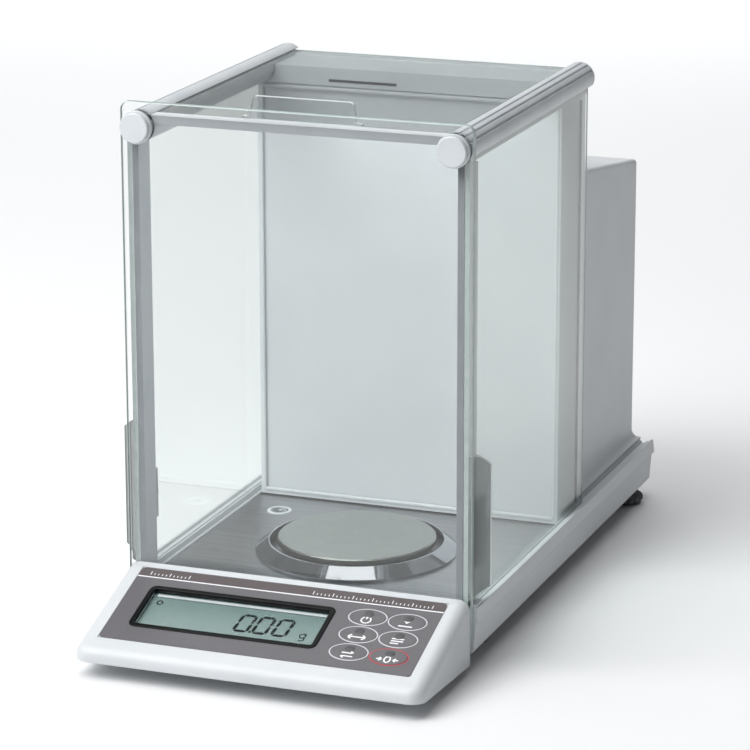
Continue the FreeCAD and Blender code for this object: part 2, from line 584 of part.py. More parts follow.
def buildSideHandle(side):
    """A quarter-round grip on the door's front edge, pinned through the glass to an inner pad."""
    body = newBody(side + "_door_handle")
    grip = "doorOuter + gripRadius"
    add(body, "XY", "gripLow", "gripHigh", (sided(side, grip), "doorFront", "gripRadius"))
    cut(body, "XY", "gripLow", "gripHigh", (sided(side, grip), "doorFront", "gripRadius - gripThick"))
    cut(body, "XY", "gripLow", "gripHigh",
        sideBox(side, "doorOuter - 1", grip + " + gripRadius + 1", "doorFront - gripRadius - 1", "doorFront"))
    cut(body, "XY", "gripLow", "gripHigh",
        sideBox(side, grip, grip + " + gripRadius + 1", "doorFront", "doorFront + gripRadius + 1"))
    tip, root = grip + " + 1", "doorOuter + 1"
    for end, way in (("gripLow", 1), ("gripHigh", -1)):
        corner = [(root, end), (tip, end), (tip, "%s + %d * gripSlant" % (end, way))]
        cut(body, "XZ", "doorFront - 1", "doorFront + gripRadius + 1",
            [(sided(side, x), z) for x, z in corner])
    strip = ("doorFront", "doorFront + padSetback + padDeep + 2")
    low = "doorOuter" if side == "right" else "-(doorOuter + gripThick)"
    add(body, "YZ", low, low + " + gripThick", box(*strip, "padZ - padHalf - 5", "padZ + padHalf + 5"))
    middle = ("doorFront + padSetback + padDeep / 2", "padZ", "pinRadius - runGap")
    inner = "doorInner - padThick" if side == "right" else "-(doorOuter + 1)"
    add(body, "YZ", inner, inner + " + padThick + doorThick + 1", middle)
    pad = "doorInner - padThick" if side == "right" else "-doorInner"
    add(body, "YZ", pad, pad + " + padThick",
        box("doorFront + padSetback", "doorFront + padSetback + padDeep", "padZ - padHalf", "padZ + padHalf"))


def buildTopHandle():
    body = newBody("top_door_handle")
    low = "topDoorLow + topDoorThick"
    near = "front + topDoorFront"
    add(body, "XZ", near, near + " + tabThick",
        symmetric([("tabFoot", low), ("tabFoot", low + " + tabStep"), ("tabHalf + 2", low + " + tabStep"),
                   ("tabHalf", low + " + tabTall")]))
    soften(body, "2.5", lambda e: runs(e, 1) and e.CenterOfMass.z > number(low + " + tabStep") - 0.1
           and abs(e.CenterOfMass.x) < number("tabHalf") + 3)


# ---------------------------------------------------------------- weighing system

def buildPan():
    pan = newBody("weighing_pan", "0", "panMid", "floorHigh")
    lip = "panRise - panLip"
    spin(pan, "XZ", "V_Axis",
         [("0", "panRise"), ("panRadius - 0.8", "panRise"), ("panRadius", "panRise - 0.8"),
          ("panRadius", lip), ("panRadius - panThick", lip), ("panRadius - panThick", "panRise - panThick"),
          ("coneRadius + 3", "panRise - panThick"), ("coneRadius + 3", "panRise - 5"),
          ("coneRadius", "panRise - 5"), ("coneRadius", "panRise - 4"), ("0", "panRise - 4")])
    ring = newBody("breeze_ring", "0", "panMid", "floorHigh")
    spin(ring, "XZ", "V_Axis",
         [("ringFoot", "0"), ("ringFoot", "1.5"), ("ringTop + 0.5", "ringRise"),
          ("ringTop - 0.6", "ringRise"), ("ringTop - 0.6", "ringRise - 2.5"),
          ("ringTop + 0.4", "ringRise - 2.5"), ("ringTop + 0.4", "ringRise - ringThick - 0.6"),
          ("ringFoot - 1.2", "0.8"), ("ringFoot - 1.2", "0")])


def buildCarrier():
    stem = newBody("pan_support", "0", "panMid", "0")
    top = "panTop - 4"
    spin(stem, "XZ", "V_Axis",
         [("0", "armLow + armTall"), ("stemRadius", "armLow + armTall"), ("stemRadius", top + " - 5"),
          ("coneRadius - runGap", top + " - 2"), ("coneRadius - runGap", top), ("0", top)])
    arm = newBody("pan_arm")
    add(arm, "XY", "armLow", "armLow + armTall", across("armWide / 2", "panMid - 10", "cellY"))
    block = newBody("floating_block")
    add(block, "XY", "armLow", "blockTop", across("cellHalf - 8", "cellY", "blockBack"))


def buildCell():
    base = newBody("cell_base")
    add(base, "XY", "cellLow", "cellDeck", across("cellHalf", "blockBack + cellGap", "columnY + columnDeep"))
    add(base, "XY", "cellLow", "blockTop", across("cellHalf", "columnY", "columnY + columnDeep"))
    for label, low in (("upper_guide", "blockTop - guideThick - 4"), ("lower_guide", "cellDeck + guideRise")):
        guide = newBody(label)
        add(guide, "XY", low, low + " + guideThick",
            across("guideHalf", "blockBack + cellGap / 2", "columnY"))
    lever = newBody("transmission_lever")
    add(lever, "XY", "leverZ", "leverZ + leverTall", across("leverHalf", "blockBack + cellGap", "columnY"))
    magnet = newBody("magnet_pot", "0", "magnetY", "magnetLow")
    spin(magnet, "XZ", "V_Axis",
         [("0", "0"), ("magnetRadius", "0"), ("magnetRadius", "magnetTall"), ("coilRadius + 2", "magnetTall"),
          ("coilRadius + 2", "magnetWall"), ("coilRadius - 3", "magnetWall"),
          ("coilRadius - 3", "magnetTall"), ("0", "magnetTall")])
    coil = newBody("force_coil", "0", "magnetY", "magnetLow")
    low, high = "magnetWall + 2", "leverZ - magnetLow"
    spin(coil, "XZ", "V_Axis",
         [("coilRadius - 2", low), ("coilRadius + magnetGap", low), ("coilRadius + magnetGap", high),
          ("coilRadius - 2", high)])


def buildLevel():
    housing = newBody("level_housing", "levelX", "front + levelY", "floorHigh")
    spin(housing, "XZ", "V_Axis",
         [("vialRadius + runGap", "0.6"), ("levelRadius - 0.4", "0.6"), ("levelRadius", "0.2"),
          ("levelRadius", "0"), ("levelRadius - 1.1", "0"), ("levelRadius - 1.1", "-levelDeep"),
          ("0", "-levelDeep"),
          ("0", "-levelDeep + 1"), ("vialRadius + runGap", "-levelDeep + 1")])
    vial = newBody("level_vial", "levelX", "front + levelY", "floorHigh")
    spin(vial, "XZ", "V_Axis",
         [("0", "-levelDeep + 1"), ("vialRadius", "-levelDeep + 1"), ("vialRadius", "0.2"), ("0", "0.4")])


# ---------------------------------------------------------------- feet, fasteners, electronics

def buildFeet():
    for side in ("left", "right"):
        x = sided(side, "footX")
        foot = newBody(side + "_foot_screw", x, "footMidY", "0")
        low = "footPadThick"
        add(foot, "XY", low, low + " + footDiscThick", ("0", "0", "footDisc"))
        soften(foot, "0.6", lambda e: e.Length > 20, "Chamfer")
        ring = "(footDisc + notchSetout) * "
        notches = [(ring + "cos(%d)" % turn, ring + "sin(%d)" % turn, "discNotch")
                   for turn in range(0, 360, 18)]
        cut(foot, "XY", low, low + " + footDiscThick", *notches)
        add(foot, "XY", low + " + footDiscThick", "cellLow + bossTall - footTravel", ("0", "0", "footStem"))
        pad = newBody(side + "_foot_pad", x, "footMidY", "0")
        add(pad, "XY", "0", "footPadThick", ("0", "0", "footPad"))
    front = newBody("front_feet")
    add(front, "XY", "0", "caseBottom",
        *[(sided(side, "frontFootX"), "front + frontFootY", "frontFootRadius") for side in ("left", "right")])


def buildFasteners():
    screws = newBody("case_screws")
    spots = [(sided(side, x), y) for side in ("left", "right") for x, y in screwSpots]
    screws.AllowCompound = True
    add(screws, "XY", "caseBottom - screwHeadTall", "caseBottom", *[spot + ("screwHead",) for spot in spots])
    add(screws, "XY", "caseBottom", "deckLow + 2", *[spot + ("screwRadius",) for spot in spots])
    hook = newBody("underhook_cover", "0", "panMid", "0")
    add(hook, "XY", "caseBottom", "caseBottom + hookThick", ("0", "0", "hookRadius"))


def buildElectronics():
    board = newBody("main_board")
    low, high = "deckTop + boardEdge", "jackZ + boardRise"
    add(board, "XZ", "boardY - boardThick", "boardY", across("boardHalf", low, high))
    stands = [(sided(side, "boardHalf - boardEdge"), z, "standRadius")
              for side in ("left", "right") for z in (low + " + boardEdge", high + " - boardEdge")]
    add(board, "XZ", "boardY", "rear - rearSkin", *stands)
    jack = newBody("power_jack")
    add(jack, "XZ", "boardY", "rear - shellSink", ("jackX", "jackZ", "jackRadius"))
    cut(jack, "XZ", "rear - jackDeep", "rear - shellSink", ("jackX", "jackZ", "jackMouth"))
    add(jack, "XZ", "rear - jackDeep - 1", "rear - 1.6", ("jackX", "jackZ", "jackPin"))
    port = newBody("serial_port")
    add(port, "XZ", "boardY", "rear - rearSkin",
        box("portX - portHalf", "portX + portHalf", "jackZ - portTall", "jackZ + portTall"))
    shell = [("portX - shellTop", "jackZ + shellTall"), ("portX + shellTop", "jackZ + shellTall"),
             ("portX + shellLow", "jackZ - shellTall"), ("portX - shellLow", "jackZ - shellTall")]
    add(port, "XZ", "rear - rearSkin", "rear - shellSink", shell)


buildLowerCase()
buildBaseCover()
buildFloorPlate()
buildRearCover()
buildRearWall()
buildConsole()
buildConsoleBottom()
buildOverlay()
buildDisplay()
buildKeys()
buildFrontGlass()
buildBars()
for side in ("left", "right"):
    buildPost(side)
    buildRail(side)
    buildKnob(side)
    buildSideHandle(side)
buildDoors()
buildTopHandle()
buildPan()
buildCarrier()
buildCell()
buildLevel()
buildFeet()
buildFasteners()
buildElectronics()
doc.recompute()

for item in doc.Objects:
    if "Invalid" in item.State or "Error" in item.State:
        raise RuntimeError("%s failed: %s" % (item.Label, item.State))
os.makedirs("parts", exist_ok=True)
for item in parts:
    if item.Shape.isNull() or not item.Shape.isValid():
        raise RuntimeError(item.Label + " has no valid shape")
    item.Shape.exportStep("parts/%s.step" % item.Label)
    print(item.Label, len(item.Shape.Solids), round(item.Shape.Volume))
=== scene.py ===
import bmesh
import bpy
import json
import math
from mathutils import Matrix, Vector


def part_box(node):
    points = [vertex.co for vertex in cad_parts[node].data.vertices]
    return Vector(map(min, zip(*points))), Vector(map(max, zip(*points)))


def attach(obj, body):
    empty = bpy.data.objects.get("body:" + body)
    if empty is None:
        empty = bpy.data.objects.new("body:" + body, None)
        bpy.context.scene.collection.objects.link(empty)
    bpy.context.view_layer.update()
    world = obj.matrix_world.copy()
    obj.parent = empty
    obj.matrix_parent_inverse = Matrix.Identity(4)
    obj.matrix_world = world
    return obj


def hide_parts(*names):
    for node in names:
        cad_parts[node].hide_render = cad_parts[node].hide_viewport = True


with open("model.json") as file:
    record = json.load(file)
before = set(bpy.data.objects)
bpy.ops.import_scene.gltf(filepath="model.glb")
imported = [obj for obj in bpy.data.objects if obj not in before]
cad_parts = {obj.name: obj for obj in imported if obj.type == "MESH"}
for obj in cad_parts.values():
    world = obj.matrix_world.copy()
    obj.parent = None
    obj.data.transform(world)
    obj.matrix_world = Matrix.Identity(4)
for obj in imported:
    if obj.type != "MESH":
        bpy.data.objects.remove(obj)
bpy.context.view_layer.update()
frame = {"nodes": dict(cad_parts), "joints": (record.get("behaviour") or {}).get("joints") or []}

mm = 0.001
nodes = frame["nodes"]
print("frame loaded:", len(nodes), "nodes")


def colour(code):
    # sRGB hex to the linear colour that shaders take
    parts = [int(code[i:i + 2], 16) / 255 for i in (1, 3, 5)]
    return [c / 12.92 if c <= 0.04045 else ((c + 0.055) / 1.055) ** 2.4 for c in parts] + [1]


def addNode(tree, kind, inputs=None, **settings):
    node = tree.nodes.new("ShaderNode" + kind)
    for name, value in settings.items():
        setattr(node, name, value)
    for name, value in (inputs or {}).items():
        if isinstance(value, bpy.types.NodeSocket):
            tree.links.new(value, node.inputs[name])
        else:
            node.inputs[name].default_value = value
    return node


def newMaterial(name):
    material = bpy.data.materials.new(name)
    material.use_nodes = True
    tree = material.node_tree
    tree.nodes.clear()
    return material, tree, addNode(tree, "OutputMaterial")


def finish(tree, output, shader):
    tree.links.new(shader, output.inputs["Surface"])


def paint(names, material):
    for name in names:
        mesh = nodes[name].data
        mesh.materials.clear()
        mesh.materials.append(material)


# ABS, injection moulded in a spark-eroded tool: a soft even sheen, very fine grain, cool white
whiteAbs = {"light": "#d0d3d6", "dark": "#cbcfd2", "grain": 0.5, "cloud": 45, "roughness": 0.42, "spread": 0.1,
            "relief": 0.018, "edge": 0.7}
# the same ABS in smoother tools for the rails, caps and knobs
satinAbs = {"light": "#ced2d5", "dark": "#c5cace", "grain": 0.8, "cloud": 30, "roughness": 0.33, "spread": 0.08,
            "relief": 0.008, "edge": 0.35}
# the two cross bars, moulded in the same ABS with a polished tool; their brighter colour is painted reflection,
# standing in for the veil that the front glass lays over them
paintedVeilAbs = {"light": "#e6e9ec", "dark": "#dfe3e7", "grain": 0.8, "cloud": 30, "roughness": 0.3, "spread": 0.06,
          "relief": 0.006, "edge": 0.35}
# sheet steel with a satin powder coat: orange peel a few millimetres across
wallCoat = {"light": "#d6dbde", "dark": "#d0d5d9", "grain": 2.4, "cloud": 60, "roughness": 0.5, "spread": 0.08,
            "relief": 0.012, "edge": 0.5}
# aluminium extrusion with grey-white paint
postCoat = {"light": "#c9ced2", "dark": "#bec4ca", "grain": 1.6, "cloud": 40, "roughness": 0.4, "spread": 0.08,
            "relief": 0.008, "edge": 0.3}
# nitrile rubber, moulded: dull black with a fine bloom
blackRubber = {"light": "#232325", "dark": "#171719", "grain": 0.6, "cloud": 8, "roughness": 0.7, "spread": 0.12,
               "relief": 0.03, "edge": 0.3}
# glass-filled nylon, moulded: dark grey, slightly streaky
footNylon = {"light": "#48484c", "dark": "#38383b", "grain": 0.7, "cloud": 10, "roughness": 0.5, "spread": 0.15,
             "relief": 0.02, "edge": 0.3}
# black acrylic frame round the display, with a coat that hardly mirrors
bezelAcrylic = {"light": "#0b0c0d", "dark": "#060708", "grain": 1.2, "cloud": 30, "roughness": 0.3, "spread": 0.05,
                "relief": 0.002, "edge": 0.25, "ior": 1.25}


def mouldedFinish(name, look):
    material, tree, output = newMaterial(name)
    place = addNode(tree, "TexCoord").outputs["Object"]
    grain = addNode(tree, "TexNoise", {"Vector": place, "Scale": 1 / (look["grain"] * mm), "Detail": 2.0})
    cloud = addNode(tree, "TexNoise", {"Vector": place, "Scale": 1 / (look["cloud"] * mm), "Detail": 3.0})
    tone = addNode(tree, "MapRange", {"Value": cloud.outputs["Fac"], "From Min": 0.35, "From Max": 0.65})
    shade = addNode(tree, "Mix", {0: tone.outputs["Result"], 6: colour(look["dark"]), 7: colour(look["light"])},
                    data_type="RGBA")
    sheen = addNode(tree, "MapRange", {"Value": grain.outputs["Fac"], "From Min": 0.3, "From Max": 0.7,
                                       "To Min": look["roughness"] - look["spread"] / 2,
                                       "To Max": look["roughness"] + look["spread"] / 2})
    soft = addNode(tree, "Bevel", {"Radius": look["edge"] * mm}, samples=4)
    bump = addNode(tree, "Bump", {"Strength": 0.5, "Distance": look["relief"] * mm, "Height": grain.outputs["Fac"],
                                  "Normal": soft.outputs["Normal"]})
    shader = addNode(tree, "BsdfPrincipled", {"Base Color": shade.outputs[2], "Roughness": sheen.outputs["Result"],
                                              "Normal": bump.outputs["Normal"], "IOR": look.get("ior", 1.53)})
    finish(tree, output, shader.outputs[0])
    return material


# stainless sheet, brushed along X: streaks about half a millimetre apart
floorSteel = {"light": "#b9bbbd", "dark": "#a3a5a8", "streak": 0.45, "length": 60, "roughness": 0.34, "spread": 0.16,
              "relief": 0.006}
# aluminium billet, milled: fine straight cutter marks
milledAluminium = {"light": "#c6c8cb", "dark": "#b4b6ba", "streak": 0.7, "length": 18, "roughness": 0.36,
                   "spread": 0.12, "relief": 0.006}


def brushedFinish(name, look):
    material, tree, output = newMaterial(name)
    place = addNode(tree, "TexCoord").outputs["Object"]
    stretch = addNode(tree, "Mapping", {"Vector": place, "Scale": (look["streak"] / look["length"], 1, 1)})
    fine = addNode(tree, "TexNoise", {"Vector": stretch.outputs[0], "Scale": 1 / (look["streak"] * mm), "Detail": 3.0,
                                      "Roughness": 0.7})
    broad = addNode(tree, "TexNoise", {"Vector": stretch.outputs[0], "Scale": 0.2 / (look["streak"] * mm),
                                       "Detail": 2.0})
    both = addNode(tree, "Math", {0: fine.outputs["Fac"], 1: broad.outputs["Fac"]}, operation="ADD")
    tone = addNode(tree, "MapRange", {"Value": both.outputs[0], "From Min": 0.75, "From Max": 1.25})
    shade = addNode(tree, "Mix", {0: tone.outputs["Result"], 6: colour(look["dark"]), 7: colour(look["light"])},
                    data_type="RGBA")
    sheen = addNode(tree, "MapRange", {"Value": fine.outputs["Fac"], "From Min": 0.3, "From Max": 0.7,
                                       "To Min": look["roughness"] - look["spread"] / 2,
                                       "To Max": look["roughness"] + look["spread"] / 2})
    bump = addNode(tree, "Bump", {"Strength": 0.6, "Distance": look["relief"] * mm, "Height": fine.outputs["Fac"]})
    shader = addNode(tree, "BsdfPrincipled", {"Base Color": shade.outputs[2], "Roughness": sheen.outputs["Result"],
                                              "Normal": bump.outputs["Normal"], "Metallic": 1.0, "Anisotropic": 0.5})
    finish(tree, output, shader.outputs[0])
    return material


# a ring texture at scale 1 repeats after this length
ringPeriod = 0.314
# pan of stainless steel, spun: satin rings round its middle, drawn 0.8 mm apart, coarser than real, to show
panSteel = {"light": "#b6bab5", "dark": "#a6aaa5", "ring": 0.8, "mottle": 9, "roughness": 0.3, "spread": 0.12,
            "relief": 0.004}
# brass ring, turned and chromium plated: nearly a mirror, with a trace of the turning
ringChrome = {"light": "#c9ccd0", "dark": "#c0c3c7", "ring": 1.2, "mottle": 9, "roughness": 0.05, "spread": 0.03,
              "relief": 0.0006}
# steel, turned and zinc plated
turnedSteel = {"light": "#b6b7ba", "dark": "#9c9da1", "ring": 1.0, "mottle": 9, "roughness": 0.32, "spread": 0.15,
               "relief": 0.006}


def spunFinish(name, look, node):
    low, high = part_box(node)
    middle = (low + high) / 2
    material, tree, output = newMaterial(name)
    place = addNode(tree, "TexCoord").outputs["Object"]
    centred = addNode(tree, "Mapping", {"Vector": place, "Location": -middle})
    rings = addNode(tree, "TexWave", {"Vector": centred.outputs[0], "Scale": ringPeriod / (look["ring"] * mm),
                                      "Distortion": 1.2, "Detail": 2.0, "Detail Scale": 1.5},
                    wave_type="RINGS", rings_direction="Z")
    mottle = addNode(tree, "TexNoise", {"Vector": place, "Scale": 1 / (look["mottle"] * mm), "Detail": 4.0})
    blend = addNode(tree, "Math", {0: rings.outputs["Fac"], 1: mottle.outputs["Fac"]}, operation="MULTIPLY")
    shade = addNode(tree, "Mix", {0: blend.outputs[0], 6: colour(look["light"]), 7: colour(look["dark"])},
                    data_type="RGBA")
    sheen = addNode(tree, "MapRange", {"Value": blend.outputs[0], "From Min": 0.0, "From Max": 0.7,
                                       "To Min": look["roughness"] - look["spread"] / 2,
                                       "To Max": look["roughness"] + look["spread"] / 2})
    bump = addNode(tree, "Bump", {"Strength": 0.5, "Distance": look["relief"] * mm, "Height": rings.outputs["Fac"]})
    shader = addNode(tree, "BsdfPrincipled", {"Base Color": shade.outputs[2], "Roughness": sheen.outputs["Result"],
                                              "Normal": bump.outputs["Normal"], "Metallic": 1.0})
    finish(tree, output, shader.outputs[0])
    return material


# float glass, cut and polished: clear through the sheet, green along its edges
floatGlass = {"tint": "#fbfdfc", "lamp": "#f9fbfa", "roughness": 0.0, "haze": 0.004, "ior": 1.45, "smear": 35}
# the side doors are a shade greyer, as iron-rich glass is
doorGlass = {"tint": "#f0f4f2", "lamp": "#f9fbfa", "roughness": 0.0, "haze": 0.004, "ior": 1.45, "smear": 35}
# the front pane has a hard coat, which mirrors a little more of the room
coatedGlass = {"tint": "#fcfdfd", "lamp": "#fbfcfc", "roughness": 0.0, "haze": 0.004, "ior": 1.55, "smear": 35}
# acrylic tab, laser cut: clear with a slightly milky body
clearAcrylic = {"tint": "#f3f5f6", "lamp": "#f0f2f3", "roughness": 0.05, "haze": 0.02, "ior": 1.2, "smear": 20}
# polycarbonate window over the display, with a coat that hardly mirrors
displayPane = {"tint": "#f8fafa", "lamp": "#f6f8f8", "roughness": 0.0, "haze": 0.003, "ior": 1.12, "smear": 18}


def clearFinish(name, look):
    material, tree, output = newMaterial(name)
    place = addNode(tree, "TexCoord").outputs["Object"]
    smear = addNode(tree, "TexNoise", {"Vector": place, "Scale": 1 / (look["smear"] * mm), "Detail": 4.0})
    sheen = addNode(tree, "MapRange", {"Value": smear.outputs["Fac"], "From Min": 0.4, "From Max": 0.8,
                                       "To Min": look["roughness"], "To Max": look["roughness"] + look["haze"]})
    shader = addNode(tree, "BsdfPrincipled", {"Base Color": colour(look["tint"]), "Transmission Weight": 1.0,
                                              "Roughness": sheen.outputs["Result"], "IOR": look["ior"]})
    # lamp light goes straight through, so that the chamber is lit
    through = addNode(tree, "BsdfTransparent", {"Color": colour(look["lamp"])})
    path = addNode(tree, "LightPath")
    both = addNode(tree, "MixShader", {0: path.outputs["Is Shadow Ray"], 1: shader.outputs[0], 2: through.outputs[0]})
    finish(tree, output, both.outputs[0])
    return material


# polycarbonate grip, moulded in a smoke tint: about two fifths of the light behind it comes through
smokeGrip = {"light": "#8d9492", "dark": "#848b89", "streak": 14, "roughness": 0.28, "cover": 0.58, "relief": 0.02,
             "ior": 1.5}


def smokeFinish(name, look):
    material, tree, output = newMaterial(name)
    place = addNode(tree, "TexCoord").outputs["Object"]
    upright = addNode(tree, "Mapping", {"Vector": place, "Scale": (1, 1, 0.1)})
    streak = addNode(tree, "TexNoise", {"Vector": upright.outputs[0], "Scale": 1 / (look["streak"] * mm),
                                        "Detail": 3.0})
    shade = addNode(tree, "Mix", {0: streak.outputs["Fac"], 6: colour(look["dark"]), 7: colour(look["light"])},
                    data_type="RGBA")
    bump = addNode(tree, "Bump", {"Strength": 0.2, "Distance": look["relief"] * mm, "Height": streak.outputs["Fac"]})
    shader = addNode(tree, "BsdfPrincipled", {"Base Color": shade.outputs[2], "Roughness": look["roughness"],
                                              "Normal": bump.outputs["Normal"], "Alpha": look["cover"],
                                              "IOR": look["ior"]})
    finish(tree, output, shader.outputs[0])
    return material


# ground and polished edge of float glass: light pools there, so it reads as pale green
glassEdge = {"light": "#cfdad8", "dark": "#abbcb9", "streak": 6, "roughness": 0.2, "through": 0.2, "relief": 0.01,
             "ior": 1.45}
# the same kind of edge on the acrylic tab and the grips: light comes out of it, so it reads as a pale line
acrylicEdge = {"light": "#eef1f2", "dark": "#dfe4e5", "streak": 5, "roughness": 0.25, "through": 0.1, "relief": 0.01,
               "ior": 1.45}


def edgeFinish(name, look):
    material, tree, output = newMaterial(name)
    place = addNode(tree, "TexCoord").outputs["Object"]
    streak = addNode(tree, "TexNoise", {"Vector": place, "Scale": 1 / (look["streak"] * mm), "Detail": 3.0})
    shade = addNode(tree, "Mix", {0: streak.outputs["Fac"], 6: colour(look["dark"]), 7: colour(look["light"])},
                    data_type="RGBA")
    bump = addNode(tree, "Bump", {"Strength": 0.2, "Distance": look["relief"] * mm, "Height": streak.outputs["Fac"]})
    shader = addNode(tree, "BsdfPrincipled", {"Base Color": shade.outputs[2], "Roughness": look["roughness"],
                                              "Normal": bump.outputs["Normal"], "Transmission Weight": look["through"],
                                              "IOR": look["ior"]})
    finish(tree, output, shader.outputs[0])
    return material


# width of the faint blotches in a printed film
filmCloud = 24
# polyester film, reverse printed: flat grey with a fine leather grain
overlayFilm = {"light": "#646266", "dark": "#5b595d", "grain": 0.35, "roughness": 0.36, "relief": 0.01}
domeInk = {"light": "#4b494c", "dark": "#434144", "grain": 0.35, "roughness": 0.3, "relief": 0.01}
stripInk = {"light": "#544a4c", "dark": "#4c4345", "grain": 0.35, "roughness": 0.36, "relief": 0.01}
whiteInk = {"light": "#f3f4f5", "dark": "#e6e8ea", "grain": 0.2, "roughness": 0.4, "relief": 0.002}
greyInk = {"light": "#d2d3d6", "dark": "#c6c7cb", "grain": 0.2, "roughness": 0.4, "relief": 0.002}
redInk = {"light": "#c23a42", "dark": "#b0323a", "grain": 0.2, "roughness": 0.4, "relief": 0.002}
segmentInk = {"light": "#151d1c", "dark": "#0f1515", "grain": 0.25, "ior": 1.2, "roughness": 0.5, "relief": 0.001}
# solder mask over copper, and the black nylon of plugs and sockets
solderMask = {"light": "#1f6b45", "dark": "#18583a", "grain": 3.0, "roughness": 0.35, "relief": 0.02}
socketNylon = {"light": "#232326", "dark": "#19191b", "grain": 0.5, "roughness": 0.45, "relief": 0.02}
# enamelled copper wire, wound in layers 0.4 mm apart
coilWire = {"light": "#b87440", "dark": "#8f5630", "grain": 0.4, "roughness": 0.3, "relief": 0.05}


def filmFinish(name, look, metallic=0.0):
    material, tree, output = newMaterial(name)
    place = addNode(tree, "TexCoord").outputs["Object"]
    grain = addNode(tree, "TexVoronoi", {"Vector": place, "Scale": 1 / (look["grain"] * mm)})
    cloud = addNode(tree, "TexNoise", {"Vector": place, "Scale": 1 / (filmCloud * mm), "Detail": 3.0})
    shade = addNode(tree, "Mix", {0: cloud.outputs["Fac"], 6: colour(look["dark"]), 7: colour(look["light"])},
                    data_type="RGBA")
    sheen = addNode(tree, "MapRange", {"Value": grain.outputs["Distance"], "To Min": look["roughness"] - 0.05,
                                       "To Max": look["roughness"] + 0.06})
    bump = addNode(tree, "Bump", {"Strength": 0.5, "Distance": look["relief"] * mm,
                                  "Height": grain.outputs["Distance"]})
    shader = addNode(tree, "BsdfPrincipled", {"Base Color": shade.outputs[2], "Roughness": sheen.outputs["Result"],
                                              "Normal": bump.outputs["Normal"], "Metallic": metallic,
                                              "IOR": look.get("ior", 1.55)})
    finish(tree, output, shader.outputs[0])
    return material


# reflective liquid crystal cell: grey-green polariser over a brushed foil, with painted shade that darkens it towards
# the rear, so it is lighter towards the front
lcdCell = {"light": "#8b9b98", "dark": "#5f7472", "foil": 0.3, "blotch": 0.06, "roughness": 0.28, "relief": 0.004,
           "ior": 1.25}


def lcdFinish(name, look):
    low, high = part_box("lcd_panel")
    material, tree, output = newMaterial(name)
    place = addNode(tree, "TexCoord").outputs["Object"]
    apart = addNode(tree, "SeparateXYZ", {"Vector": place})
    # painted shade: a ramp from the light colour at the cell's front edge to the dark colour at its rear
    along = addNode(tree, "MapRange", {"Value": apart.outputs["Y"], "From Min": low.y, "From Max": high.y,
                                       "To Min": 1.0, "To Max": 0.0})
    foil = addNode(tree, "TexNoise", {"Vector": place, "Scale": 1 / (look["foil"] * mm), "Detail": 2.0})
    mixed = addNode(tree, "MapRange", {"Value": foil.outputs["Fac"], "To Min": -look["blotch"],
                                       "To Max": look["blotch"]})
    both = addNode(tree, "Math", {0: along.outputs[0], 1: mixed.outputs[0]}, operation="ADD", use_clamp=True)
    shade = addNode(tree, "Mix", {0: both.outputs[0], 6: colour(look["dark"]), 7: colour(look["light"])},
                    data_type="RGBA")
    bump = addNode(tree, "Bump", {"Strength": 0.2, "Distance": look["relief"] * mm, "Height": foil.outputs["Fac"]})
    shader = addNode(tree, "BsdfPrincipled", {"Base Color": shade.outputs[2], "Roughness": look["roughness"],
                                              "Normal": bump.outputs["Normal"], "IOR": look["ior"]})
    finish(tree, output, shader.outputs[0])
    return material


body = mouldedFinish("abs, injection moulded, fine texture", whiteAbs)
rails = mouldedFinish("abs, injection moulded, satin", satinAbs)
bars = mouldedFinish("abs, injection moulded, polished, painted reflection", paintedVeilAbs)
wallPaint = mouldedFinish("powder coated sheet steel", wallCoat)
postPaint = mouldedFinish("painted aluminium extrusion", postCoat)
rubber = mouldedFinish("nitrile rubber, moulded", blackRubber)
nylon = mouldedFinish("glass filled nylon, moulded", footNylon)
acrylicFrame = mouldedFinish("black acrylic, polished", bezelAcrylic)
floorPlate = brushedFinish("stainless sheet, brushed", floorSteel)
aluminium = brushedFinish("aluminium, milled", milledAluminium)
panMetal = spunFinish("stainless steel, spun", panSteel, "weighing_pan")
chrome = spunFinish("chromium plated brass, turned", ringChrome, "breeze_ring")
zinc = spunFinish("zinc plated steel, turned", turnedSteel, "underhook_cover")
glass = clearFinish("float glass, clear", floatGlass)
greyer = clearFinish("float glass, grey green", doorGlass)
coated = clearFinish("float glass, hard coated", coatedGlass)
tabAcrylic = clearFinish("clear acrylic, cut", clearAcrylic)
grip = smokeFinish("smoke polycarbonate, moulded", smokeGrip)
pane = clearFinish("polycarbonate window, hard coated", displayPane)
edge = edgeFinish("float glass, polished edge", glassEdge)
cutEdge = edgeFinish("clear acrylic, polished edge", acrylicEdge)
film = filmFinish("polyester film, printed grey", overlayFilm)
domeFilm = filmFinish("polyester film, embossed dome", domeInk)
stripPrint = filmFinish("polyester film, printed brown grey", stripInk)
whitePrint = filmFinish("screen ink, white", whiteInk)
greyPrint = filmFinish("screen ink, pale grey", greyInk)
redPrint = filmFinish("screen ink, red", redInk)
segment = filmFinish("liquid crystal segment", segmentInk)
board = filmFinish("glass epoxy board, solder mask", solderMask)
socket = filmFinish("nylon, black, moulded", socketNylon)
winding = filmFinish("copper wire, enamelled, wound", coilWire, 1.0)
lcd = lcdFinish("liquid crystal cell, reflective", lcdCell)
print("materials made:", len(bpy.data.materials))

